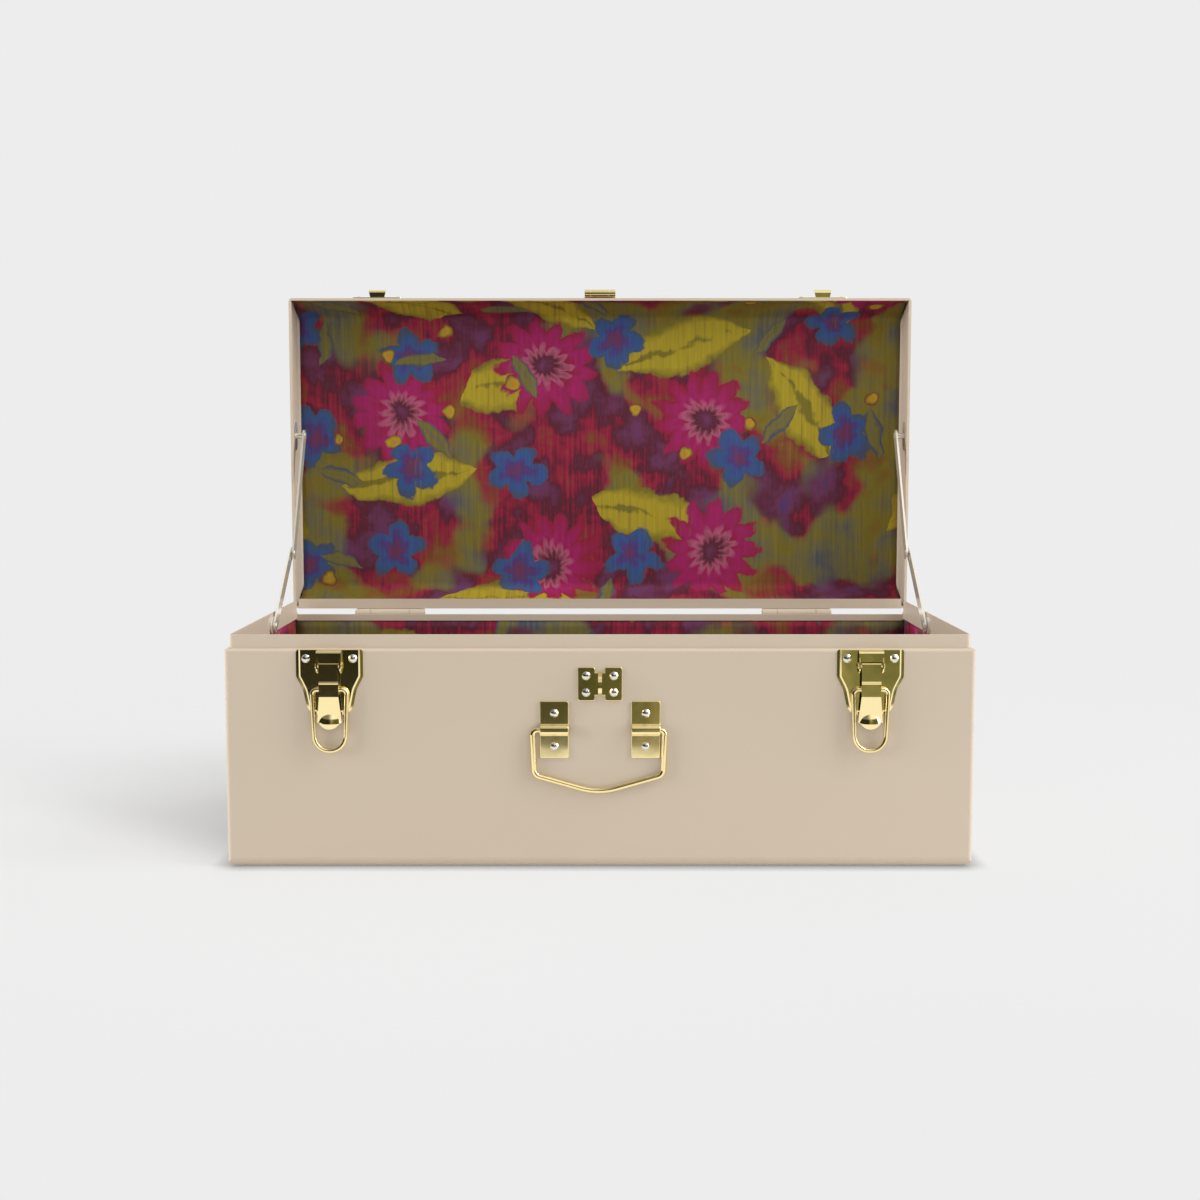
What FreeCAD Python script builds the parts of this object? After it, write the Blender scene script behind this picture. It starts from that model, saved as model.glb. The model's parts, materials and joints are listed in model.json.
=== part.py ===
"""Storage trunk of painted sheet steel, drawn with its lid open.

Sizes are millimetres. +X is the trunk's right, -Y its front and +Z up. The origin is the centre of
the underside of the base. The lid and what it carries are drawn shut, then turned about the hinge
axis to the open place in which they rest.
"""

import FreeCAD, Part
import math
import os

# Body and lid
trunk_width = 508.0
trunk_depth = 254.0
base_height = 150.2
lid_height = 40.0
sheet = 1.0
corner_radius = 3.0
base_edge_radius = 7.0
lid_edge_radius = 8.0
shoulder_radius = 2.2
lid_gap = 0.4
open_angle = 90.0

# Ledge, dust lip and back hem of the base
ledge_width = 3.1
lip_sheet = 1.0
lip_rise = 9.4
lip_skirt = 5.8
lip_bend = 2.5
lip_back_gap = 3.2
lip_ease = 0.3
back_drop = 2.2
back_hem_height = 5.0
back_hem_depth = 3.6

# Rim hem and back flange of the lid
rim_hem = 1.0
rim_hem_height = 5.0
flange_depth = 8.0
flange_clearance = 0.5

# Printed liners
liner_board = 1.2
liner_fit = 0.1
liner_drop = 0.8
floor_liner_inset = 3.5
lid_liner_board = 0.6
lid_liner_side_gap = 0.7
lid_liner_flat = 10.5
lid_liner_slope = 11.2
lid_liner_bend = 4.0
lid_liner_crease = 12.0
lid_liner_back_gap = 0.4

# Rivets
rivet_head_radius = 2.9
rivet_head_height = 1.6
rivet_shank_radius = 1.6
rivet_tail_radius = 2.4
rivet_tail_height = 0.8
rivet_fit = 0.05

# Hinges
hinge_left_inset = 80.4
hinge_right_inset = 91.4
hinge_length = 56.0
hinge_end_knuckle = 12.0
hinge_knuckle_gap = 0.3
hinge_knuckle_radius = 3.2
hinge_axis_out = 3.5
hinge_axis_drop = 1.4
hinge_leaf = 1.2
hinge_leaf_reach = 24.0
hinge_leaf_corner = 3.0
hinge_leaf_clearance = 0.4
hinge_leaf_tuck = 1.5
hinge_leaf_ease = 0.4
hinge_pin_radius = 1.3
hinge_pin_fit = 0.05
hinge_pin_head = 1.9
hinge_pin_head_length = 0.8
hinge_rivet_spread = 18.0
hinge_rivet_reach = 15.0

# Draw latches
latch_inset = 71.5
latch_top_drop = 0.4
latch_plate_height = 44.5
latch_plate_width = 45.2
latch_waist_width = 36.0
latch_plate_foot_width = 29.2
latch_shoulder_drop = 18.5
latch_shoulder_bend = 5.4
latch_waist_drop = 27.7
latch_waist_bend = 15.0
latch_top_corner = 2.0
latch_foot_corner = 9.0
latch_plate = 1.6
latch_rim = 3.0
latch_flange = 1.9
latch_flange_rise = 0.15
latch_rim_edge = 0.65
latch_edge_ease = 0.3
latch_rivet_spread = 15.9
latch_rivet_drop = 6.4
latch_ear_outer = 8.4
latch_ear = 1.0
latch_ear_reach = 6.2
latch_ear_foot = 5.4
latch_ear_rise = 2.0
latch_ear_corner = 2.4
latch_hood_reach = 5.0
latch_hood_slope = 1.2
latch_hood_bend = 1.1
latch_hood_end = 2.7
latch_pin_drop = 11.2
latch_pin_out = 4.0
latch_pin_radius = 1.25
latch_pin_fit = 0.1
latch_pin_head = 0.6

# Latch levers
lever_sheet = 1.0
lever_width = 13.1
lever_foot_width = 16.6
lever_length = 42.9
lever_straight = 20.8
lever_lean = 2.2
lever_bend = 4.0
lever_lip_height = 3.6
lever_lip_out = 2.8
lever_lip_slope = 0.8
lever_lip_width = 13.4
lever_tip_rise = 0.9
lever_thumb_radius = 7.4
lever_rib_drop = 11.3
lever_rib_radius = 1.1
lever_rib_sunk = 0.5
lever_ledge = 0.45
lever_ledge_drop = 2.5
lever_cheek = 1.0
lever_cheek_height = 6.2
lever_cheek_reach = 4.0

# Latch loops
loop_wire = 3.1
loop_width = 26.5
loop_foot_width = 23.5
loop_length = 44.9
loop_corner = 3.2
loop_pivot_drop = 16.0
loop_fit = 0.1

# Keepers on the lid
keeper_sheet = 1.0
keeper_width = 41.0
keeper_height = 20.0
keeper_corner = 3.0
keeper_rim_gap = 3.5
keeper_rivet_spread = 16.3
keeper_rivet_rise = 15.0
keeper_hook_root = 11.0
keeper_hook_width = 15.2
keeper_hook_out = 5.6
keeper_hook_curl = 3.2
keeper_hook_bend = 1.4
keeper_hook_seat = 4.5
keeper_ease = 0.4

# Bail handle
handle_wire = 3.8
handle_width = 93.6
handle_top_drop = 55.1
handle_leg = 30.9
handle_leg_lean = 1.3
handle_apex = 43.3
handle_end_inset = 1.8
handle_slide = -1.0
handle_shoulder_bend = 3.4
handle_foot_bend = 5.0
handle_apex_bend = 45.0
handle_rest_gap = 0.25
handle_fit = 0.15
bracket_leg_gap = 2.15
bracket_width = 19.7
bracket_height = 39.2
bracket_corner = 1.5
bracket_sheet = 1.2
bracket_crown_bend = 2.2
bracket_foot_bend = 1.0
bracket_foot_spread = 0.7
bracket_ease = 0.6
bracket_rivet_spread = 11.3

# Staple on the base
staple_drop = 23.9
staple_width = 30.1
staple_height = 23.0
staple_corner = 1.6
staple_sheet = 1.2
staple_bridge_width = 6.6
staple_bridge_height = 15.6
staple_fin = 2.6
staple_eye_radius = 3.3
staple_eye_out = 5.8
staple_eye_wall = 2.2
staple_fin_corner = 5.4
staple_ease = 0.5
staple_rivet_x = 9.4
staple_rivet_spread = 5.65

# Hasp on the lid
hasp_width = 25.0
hasp_sheet = 1.2
hasp_barrel_radius = 3.3
hasp_axis_out = 3.9
hasp_axis_rise = 2.2
hasp_end_knuckle = 5.0
hasp_knuckle_gap = 0.25
hasp_leaf_height = 24.0
hasp_leaf_clearance = 0.4
hasp_corner = 3.0
hasp_pin_radius = 1.3
hasp_pin_fit = 0.05
hasp_rivet_spread = 7.5
hasp_rivet_rise = 17.0
hasp_strap_width = 22.0
hasp_strap_end = 3.4
hasp_strap_corner = 6.0
hasp_slot_side = 1.3
hasp_slot_end = 1.2
hasp_slot_corner = 2.2
hasp_ease = 0.4

# Folding lid stays, with their pivots measured from the back and the ledge
stay_base_ahead = 106.0
stay_base_rise = -0.6
stay_elbow_ahead = 38.0
stay_elbow_rise = 50.4
stay_lid_behind = 18.0
stay_lid_rise = 144.4
stay_plate = 1.2
stay_plate_length = 26.0
stay_plate_height = 12.4
stay_plate_rise = 0.5
stay_arm = 1.5
stay_arm_width = 10.0
stay_gap = 0.3
stay_pivot_radius = 1.8
stay_pivot_fit = 0.1
stay_head_radius = 2.8
stay_head_height = 0.7
stay_foot_length = 24.0
stay_foot_height = 12.6
stay_post_radius = 2.5

# Places worked out from the sizes above
half_width = trunk_width / 2
half_depth = trunk_depth / 2
front_y = -half_depth
back_y = half_depth
rim_z = base_height + lid_gap
back_top_z = base_height - back_drop
lip_inner_x = half_width - ledge_width - lip_sheet
liner_outset = sheet + rivet_tail_height + liner_fit
hinge_left_x = hinge_left_inset - half_width
hinge_right_x = half_width - hinge_right_inset
hinge_y = back_y + hinge_axis_out
hinge_z = base_height - hinge_axis_drop
latch_x = half_width - latch_inset
latch_pin_z = base_height - latch_pin_drop
loop_radius = loop_wire / 2
loop_out = latch_pin_out + latch_pin_radius + latch_pin_fit - loop_radius - loop_fit
loop_pivot_z = latch_pin_z - loop_pivot_drop
loop_reach = loop_length - loop_wire
handle_z = base_height - handle_top_drop
handle_out = handle_rest_gap + handle_wire / 2
bracket_x = handle_width / 2 - handle_wire - bracket_leg_gap - bracket_width / 2
staple_z = base_height - staple_drop
hasp_axis_z = rim_z + hasp_axis_rise
hasp_strap_length = hasp_axis_z - staple_z + staple_bridge_height / 2 + hasp_slot_end + hasp_strap_end
stay_base_y = back_y - stay_base_ahead
stay_elbow_y = back_y - stay_elbow_ahead
stay_lid_y = back_y + stay_lid_behind
spare = 5.0
tolerance = 1e-6

X_AXIS = FreeCAD.Vector(1, 0, 0)
Y_AXIS = FreeCAD.Vector(0, 1, 0)
Z_AXIS = FreeCAD.Vector(0, 0, 1)


def front(x):
    """Maps (outward, height) on the front face at this x to space."""
    return lambda p: FreeCAD.Vector(x, front_y - p.x, p.y)


def back(x):
    """Maps (outward, height) on the back face at this x to space."""
    return lambda p: FreeCAD.Vector(x, back_y + p.x, p.y)


def across(x):
    """Maps (depth, height) on the plane at this x to space."""
    return lambda p: FreeCAD.Vector(x, p.x, p.y)


def facing(y):
    """Maps (width, height) on the plane at this y to space."""
    return lambda p: FreeCAD.Vector(p.x, y, p.y)


def plan(z):
    """Maps (width, depth) on the plane at this z to space."""
    return lambda p: FreeCAD.Vector(p.x, p.y, z)


def flat(points):
    """Pairs of numbers as flat vectors."""
    return [FreeCAD.Vector(a, b, 0) for a, b in points]


def left_of(direction):
    """The direction turned a quarter turn to the left."""
    return FreeCAD.Vector(-direction.y, direction.x, 0)


def heading(start, end):
    """Unit vector from start to end."""
    return (end - start).normalize()


def corner(before, at, after, radius, offset=0.0):
    """Start, middle and end of a tangent arc at a corner, moved sideways by the offset to the left."""
    into = heading(before, at)
    out = heading(at, after)
    turn = math.atan2(into.cross(out).z, into.dot(out))
    side = math.copysign(1.0, turn)
    run = radius * math.tan(abs(turn) / 2)
    start = at - into * run
    end = at + out * run
    centre = start + left_of(into) * (radius * side)
    middle = centre + heading(centre, at) * (radius - side * offset)
    return start + left_of(into) * offset, middle, end + left_of(out) * offset


def join(place, stops):
    """Edges from stop to stop: a stop of three points is an arc, and lines fill in between the stops."""
    edges = []
    last = None
    for stop in stops:
        if last is not None and (stop[0] - last).Length > tolerance:
            edges.append(Part.LineSegment(place(last), place(stop[0])).toShape())
        if len(stop) == 3:
            edges.append(Part.Arc(place(stop[0]), place(stop[1]), place(stop[2])).toShape())
        last = stop[-1]
    return edges


def open_stops(points, bends, offset=0.0):
    """The stops of an open path, moved sideways by the offset to the left."""
    stops = [(points[0] + left_of(heading(points[0], points[1])) * offset,)]
    for i in range(1, len(points) - 1):
        stops.append(corner(points[i - 1], points[i], points[i + 1], bends[i - 1], offset))
    stops.append((points[-1] + left_of(heading(points[-2], points[-1])) * offset,))
    return stops


def closed_stops(points, bends):
    """The stops of a closed outline whose corner radii are given in order, with 0 for a sharp one."""
    stops = []
    for i, at in enumerate(points):
        if bends[i] > 0:
            stops.append(corner(points[i - 1], at, points[(i + 1) % len(points)], bends[i]))
        else:
            stops.append((at,))
    return stops + [(stops[0][0],)]


def outline(points, bends, place):
    """A flat face inside a closed outline."""
    if not isinstance(bends, (list, tuple)):
        bends = [bends] * len(points)
    return Part.Face(Part.Wire(join(place, closed_stops(flat(points), bends))))


def rectangle(a, b, low, high):
    """The corners of a rectangle, anticlockwise."""
    return [(a, low), (b, low), (b, high), (a, high)]


def bent_sheet(points, bends, thickness, place, sweep):
    """Sheet of even thickness that follows a path of straight runs and tangent bends."""
    there = flat(points)
    if not isinstance(bends, (list, tuple)):
        bends = [bends] * (len(points) - 2)
    one_side = open_stops(there, bends, thickness / 2)
    other_side = open_stops(there[::-1], bends[::-1], thickness / 2)
    stops = one_side + other_side + [one_side[0]]
    return Part.Face(Part.Wire(join(place, stops))).extrude(sweep)


def rod(path, start, direction, radius):
    """Round wire along a path."""
    ring = Part.Wire(Part.Circle(start, direction, radius).toShape())
    return Part.Wire(path).makePipeShell([ring], True, False)


def box(x0, x1, y0, y1, z0, z1):
    """Box between two corners."""
    return Part.makeBox(x1 - x0, y1 - y0, z1 - z0, FreeCAD.Vector(x0, y0, z0))


def bar_x(radius, x0, x1, y, z):
    """Cylinder along X."""
    return Part.makeCylinder(radius, x1 - x0, FreeCAD.Vector(x0, y, z), X_AXIS)


def bar_y(radius, y0, y1, x, z):
    """Cylinder along Y."""
    return Part.makeCylinder(radius, y1 - y0, FreeCAD.Vector(x, y0, z), Y_AXIS)


def moved(shape, x=0.0, y=0.0, z=0.0):
    """A copy of the shape, moved."""
    copy = shape.copy()
    copy.translate(FreeCAD.Vector(x, y, z))
    return copy


def mirrored(shape):
    """The shape on the other side of the trunk."""
    return shape.mirror(FreeCAD.Vector(0, 0, 0), X_AXIS)


def opened(shape):
    """A piece of the shut lid, turned about the hinge axis to its open place."""
    copy = shape.copy()
    copy.rotate(FreeCAD.Vector(0, hinge_y, hinge_z), X_AXIS, -open_angle)
    return copy


def rounded_box(inset, z0, z1, upright_radius, bottom_radius, top_radius):
    """The trunk's plan, inset and raised from z0 to z1, with its bottom and top edges rounded."""
    x = half_width - inset
    y = half_depth - inset
    edges = [bottom_radius, bottom_radius, top_radius, top_radius]
    upright = outline(rectangle(-x, x, -y, y), upright_radius, plan(z0))
    sideways = outline(rectangle(-y, y, z0, z1), edges, across(-x))
    frontal = outline(rectangle(-x, x, z0, z1), edges, facing(-y))
    body = upright.extrude(FreeCAD.Vector(0, 0, z1 - z0))
    body = body.common(sideways.extrude(FreeCAD.Vector(2 * x, 0, 0)))
    return body.common(frontal.extrude(FreeCAD.Vector(0, 2 * y, 0)))


def eased(shape, radius, axis, level):
    """The shape with its edges on one plane rounded, the plane given by its axis and its place along it."""
    on_plane = []
    for edge in shape.Edges:
        marks = [v.Point for v in edge.Vertexes] + [edge.CenterOfMass]
        if all(abs(p.dot(axis) - level) < tolerance for p in marks):
            on_plane.append(edge)
    return shape.makeFillet(radius, on_plane)


def edge_depth(edge_radius, inset):
    """How deep a rounded edge of the shell reaches in from one outer face, at an inset from the other."""
    inner_radius = edge_radius - sheet
    aside = max(edge_radius - inset, 0)
    return edge_radius - math.sqrt(inner_radius**2 - aside**2)


def rivet(grip):
    """Dome-headed rivet along +Z whose head seats at z = 0, with its set tail under the grip."""
    dome = (rivet_head_radius**2 + rivet_head_height**2) / (2 * rivet_head_height)
    half_angle = math.asin(rivet_head_radius / dome) / 2
    shoulder = (dome * math.sin(half_angle), rivet_head_height - dome * (1 - math.cos(half_angle)))
    crown, bulge, seat = flat([(0, rivet_head_height), shoulder, (rivet_head_radius, 0)])
    under = flat([
        (rivet_shank_radius, 0),
        (rivet_shank_radius, -grip),
        (rivet_tail_radius, -grip),
        (rivet_tail_radius, -grip - rivet_tail_height),
        (0, -grip - rivet_tail_height),
        (0, rivet_head_height),
    ])
    edges = join(facing(0), [(crown, bulge, seat)] + [(p,) for p in under])
    return Part.Face(Part.Wire(edges)).revolve(FreeCAD.Vector(0, 0, 0), Z_AXIS, 360)


def rivets(places, plate, outward):
    """Rivets through a plate and the wall behind it, on the front (-1) or the back (+1) of the trunk."""
    solids = []
    for x, z in places:
        one = rivet(plate + sheet)
        one.rotate(FreeCAD.Vector(0, 0, 0), X_AXIS, -90 * outward)
        solids.append(moved(one, x, outward * (half_depth + plate), z))
    return Part.makeCompound(solids)


def rivet_holes(places, outward):
    """Cutters for the rivets through the plates and the wall on one side of the trunk."""
    near = half_depth - sheet - spare
    far = half_depth + spare
    low, high = sorted((outward * near, outward * far))
    radius = rivet_shank_radius + rivet_fit
    return Part.makeCompound([bar_y(radius, low, high, x, z) for x, z in places])


# Where the rivets are, as (x, z), with the lid shut
latch_rivet_z = base_height - latch_rivet_drop
latch_rivets = [
    (side * latch_x + end * latch_rivet_spread, latch_rivet_z) for side in (-1, 1) for end in (-1, 1)
]
handle_rivets = [
    (side * bracket_x, handle_z + end * bracket_rivet_spread) for side in (-1, 1) for end in (-1, 1)
]
staple_rivets = [
    (side * staple_rivet_x, staple_z + end * staple_rivet_spread) for side in (-1, 1) for end in (-1, 1)
]
keeper_rivets = [
    (side * latch_x + end * keeper_rivet_spread, rim_z + keeper_rivet_rise)
    for side in (-1, 1)
    for end in (-1, 1)
]
hasp_rivets = [(side * hasp_rivet_spread, rim_z + hasp_rivet_rise) for side in (-1, 1)]
hinge_places = {"left": hinge_left_x, "right": hinge_right_x}
hinge_base_rivets = [
    (x + side * hinge_rivet_spread, hinge_z - hinge_rivet_reach)
    for x in hinge_places.values()
    for side in (-1, 1)
]
hinge_lid_rivets = [
    (x + side * hinge_rivet_spread, hinge_z + hinge_rivet_reach)
    for x in hinge_places.values()
    for side in (-1, 1)
]


def base_shell():
    """Folded box with a rounded shoulder, a turned-in ledge and a lower hem along the back."""
    skin = rounded_box(0, 0, base_height, corner_radius, base_edge_radius, shoulder_radius)
    void = rounded_box(
        sheet,
        sheet,
        base_height - sheet,
        corner_radius - sheet,
        base_edge_radius - sheet,
        shoulder_radius - sheet,
    )
    mouth_x = half_width - ledge_width
    mouth_y = half_depth - ledge_width
    mouth = box(-mouth_x, mouth_x, -mouth_y, mouth_y, base_height - 2 * sheet, base_height + spare)
    dip = box(-lip_inner_x, lip_inner_x, mouth_y - spare, back_y + spare, back_top_z, base_height + spare)
    body = skin.cut(void).cut(mouth).cut(dip)
    hem_y = back_y - back_hem_depth
    hem_top = box(-lip_inner_x, lip_inner_x, hem_y, back_y - sheet / 2, back_top_z - sheet, back_top_z)
    hem_leg = box(-lip_inner_x, lip_inner_x, hem_y, hem_y + sheet, back_top_z - back_hem_height, back_top_z)
    body = body.fuse([hem_top, hem_leg])
    body = body.cut(rivet_holes(latch_rivets + handle_rivets + staple_rivets, -1))
    return body.cut(rivet_holes(hinge_base_rivets, 1)).removeSplitter()


def lip_band():
    """Dust lip: one strip round the left, front and right of the mouth, inside the ledge."""
    x = half_width - ledge_width - lip_sheet / 2
    y = half_depth - ledge_width - lip_sheet / 2
    end = back_y - lip_back_gap
    low = base_height - lip_skirt
    path = [(-x, end), (-x, -y), (x, -y), (x, end)]
    rise = FreeCAD.Vector(0, 0, lip_skirt + lip_rise)
    band = bent_sheet(path, lip_bend, lip_sheet, plan(low), rise)
    return eased(band, lip_ease, Z_AXIS, base_height + lip_rise)


def base_liners():
    """Printed boards on the floor and the four walls of the base."""
    floor_x = half_width - floor_liner_inset
    floor_y = half_depth - floor_liner_inset
    floor_z = edge_depth(base_edge_radius, floor_liner_inset) + liner_fit
    low = edge_depth(base_edge_radius, liner_outset) + liner_fit
    high = base_height - lip_skirt - liner_drop
    back_high = min(high, back_top_z - back_hem_height - liner_fit)
    x = half_width - liner_outset
    y = half_depth - liner_outset
    side_y = y - liner_board - liner_fit
    left = box(-x, -x + liner_board, -side_y, side_y, low, high)
    return {
        "base_floor_liner": box(-floor_x, floor_x, -floor_y, floor_y, floor_z, floor_z + liner_board),
        "base_front_liner": box(-x, x, -y, -y + liner_board, low, high),
        "base_back_liner": box(-x, x, y - liner_board, y, low, back_high),
        "base_left_liner": left,
        "base_right_liner": mirrored(left),
    }


def lid_shell():
    """Shallow pan with a hemmed rim and, between the dust lip's ends, an inward flange at the back."""
    top = rim_z + lid_height
    skin = rounded_box(0, rim_z, top, corner_radius, 0, lid_edge_radius)
    hem_z = rim_z + rim_hem_height
    void = rounded_box(sheet, hem_z, top - sheet, corner_radius - sheet, 0, lid_edge_radius - sheet)
    mouth_inset = sheet + rim_hem
    mouth_x = half_width - mouth_inset
    mouth_y = half_depth - mouth_inset
    mouth = box(-mouth_x, mouth_x, -mouth_y, mouth_y, rim_z - spare, hem_z + sheet)
    flange_x = lip_inner_x - flange_clearance
    flange_z = back_top_z + lid_gap
    skirt = box(-flange_x, flange_x, back_y - sheet, back_y, flange_z, rim_z + sheet)
    flange = box(-flange_x, flange_x, back_y - flange_depth, back_y, flange_z, flange_z + sheet)
    body = skin.cut(void).cut(mouth).fuse([skirt, flange])
    body = body.cut(rivet_holes(keeper_rivets + hasp_rivets, -1))
    return body.cut(rivet_holes(hinge_lid_rivets, 1)).removeSplitter()


def lid_liner():
    """One printed sheet over the front wall, the panel and the back wall, rolled past the corners."""
    half_board = lid_liner_board / 2
    wall_y = half_depth - sheet - rim_hem - liner_fit - half_board
    side_inset = sheet + rim_hem + lid_liner_side_gap
    panel_z = rim_z + lid_height - edge_depth(lid_edge_radius, side_inset) - liner_fit - half_board
    flat_z = rim_z + lid_liner_flat
    front_run = [(-wall_y, rim_z + lid_liner_back_gap), (-wall_y, flat_z)]
    panel_run = [(-wall_y + lid_liner_slope, panel_z), (wall_y - lid_liner_slope, panel_z)]
    back_run = [(wall_y, flat_z), (wall_y, rim_z + lid_liner_back_gap)]
    bends = [lid_liner_crease, lid_liner_bend, lid_liner_bend, lid_liner_crease]
    x = half_width - side_inset
    path = front_run + panel_run + back_run
    return bent_sheet(path, bends, lid_liner_board, across(-x), FreeCAD.Vector(2 * x, 0, 0))


def hinge(x):
    """Base leaf, lid leaf and pin of a butt hinge on the outside of the back, with the lid shut."""
    half = hinge_length / 2
    inner = half - hinge_end_knuckle
    bore = bar_x(hinge_pin_radius + hinge_pin_fit, -half, half, hinge_y, hinge_z)
    near = hinge_knuckle_radius + hinge_leaf_clearance
    thick = FreeCAD.Vector(0, hinge_leaf, 0)

    def leaf(sign, rivet_places):
        """Riveted plate on one side of the axis."""
        low, high = sorted((hinge_z + sign * near, hinge_z + sign * hinge_leaf_reach))
        far = [hinge_leaf_corner, hinge_leaf_corner, 0, 0]
        corners = far if sign < 0 else far[::-1]
        plate = outline(rectangle(-half, half, low, high), corners, facing(back_y)).extrude(thick)
        plate = eased(plate, hinge_leaf_ease, Y_AXIS, back_y + hinge_leaf)
        return plate.cut(moved(rivet_holes(rivet_places, 1), -x))

    def knuckle(x0, x1, sign):
        """Rolled knuckle with the tab that runs down to its leaf."""
        low, high = sorted((hinge_z + sign * near, hinge_z + sign * hinge_leaf_tuck))
        tab = box(x0, x1, back_y, back_y + hinge_leaf, low, high)
        return bar_x(hinge_knuckle_radius, x0, x1, hinge_y, hinge_z).fuse(tab)

    own = hinge_knuckle_gap / 2
    base_leaf = leaf(-1, hinge_base_rivets).fuse(knuckle(-inner + own, inner - own, -1)).cut(bore)
    ends = [knuckle(-half, -inner - own, 1), knuckle(inner + own, half, 1)]
    lid_leaf = leaf(1, hinge_lid_rivets).fuse(ends).cut(bore)
    shank = bar_x(hinge_pin_radius, -half, half, hinge_y, hinge_z)
    heads = [
        bar_x(hinge_pin_head, -half - hinge_pin_head_length, -half, hinge_y, hinge_z),
        bar_x(hinge_pin_head, half, half + hinge_pin_head_length, hinge_y, hinge_z),
    ]
    pin = shank.fuse(heads)
    return [moved(s.removeSplitter(), x) for s in (base_leaf, lid_leaf, pin)]


def latch_sides():
    """The latch plate's sides and foot, from above its right corner round to above its left, as stops."""
    top = base_height - latch_top_drop
    wide = latch_plate_width / 2
    foot = top - latch_plate_height
    right = flat([
        (wide, top + spare),
        (wide, top - latch_shoulder_drop),
        (latch_waist_width / 2, top - latch_waist_drop),
        (latch_plate_foot_width / 2, foot),
    ])
    left = [FreeCAD.Vector(-p.x, p.y, 0) for p in right[::-1]]
    bends = [latch_shoulder_bend, latch_waist_bend, latch_foot_corner]
    return open_stops(right + left, bends + bends[::-1])


def latch_plate_piece():
    """Stamped shield with a rim stepped up to its field, and the hood and ears that hold the lever's pin."""
    top = base_height - latch_top_drop
    wide = latch_plate_width / 2
    sides = latch_sides()
    face = Part.Face(Part.Wire(join(facing(front_y), sides + [sides[0][:1]])))
    flat_top = rectangle(-wide, wide, top - latch_plate_height, top)
    trim = outline(flat_top, [0, 0, latch_top_corner, latch_top_corner], facing(front_y))
    out = FreeCAD.Vector(0, -latch_plate, 0)
    blank = eased(face.extrude(out).common(trim.extrude(out)), latch_edge_ease, Y_AXIS, front_y - latch_plate)
    step = latch_rim_edge + latch_flange_rise
    rim_points = [
        (wide - latch_rim, front_y - latch_plate),
        (wide - latch_rim, front_y - latch_plate - spare),
        (wide + latch_flange, front_y - latch_plate - spare),
        (wide + latch_flange, front_y - latch_rim_edge + latch_flange_rise),
        (wide - latch_flange, front_y - step),
    ]
    rim_wire = Part.Wire(join(plan(top + spare), [(p,) for p in flat(rim_points + rim_points[:1])]))
    rim = Part.Wire(join(facing(front_y), sides)).makePipeShell([rim_wire], True, False)
    body = blank.cut(rim)
    inner = latch_ear_outer - latch_ear
    half_plate = latch_plate / 2
    hood_low = latch_pin_z + latch_hood_end
    hood_high = top - latch_ear / 2
    hood_knee = hood_high - latch_hood_slope
    hood_path = [(half_plate, hood_high), (latch_hood_reach, hood_knee), (latch_hood_reach, hood_low)]
    width = FreeCAD.Vector(2 * latch_ear_outer, 0, 0)
    hood = bent_sheet(hood_path, latch_hood_bend, latch_ear, front(-latch_ear_outer), width)
    ear_points = [
        (half_plate, latch_pin_z - latch_ear_foot),
        (latch_ear_reach, latch_pin_z - latch_ear_foot + latch_ear_rise),
        (latch_ear_reach, hood_low),
        (latch_hood_reach, hood_knee - latch_hood_bend),
        (half_plate, hood_high),
    ]
    ear_face = outline(ear_points, [0, latch_ear_corner, latch_ear_corner, 0, 0], front(inner))
    ear = ear_face.extrude(FreeCAD.Vector(latch_ear, 0, 0))
    body = body.fuse([hood, ear, mirrored(ear)])
    pin_y = front_y - latch_pin_out
    hole = bar_x(latch_pin_radius + rivet_fit, -latch_x, latch_x, pin_y, latch_pin_z)
    places = [(x - latch_x, z) for x, z in latch_rivets]
    return body.cut(hole).cut(rivet_holes(places, -1)).removeSplitter()


def latch_pin():
    """Pin across the ears, with a flat head at each end."""
    y = front_y - latch_pin_out
    end = latch_ear_outer + latch_pin_head
    shank = bar_x(latch_pin_radius, -end, end, y, latch_pin_z)
    head = bar_x(latch_pin_radius + latch_pin_head, latch_ear_outer, end, y, latch_pin_z)
    return shank.fuse([head, mirrored(head)]).removeSplitter()


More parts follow.
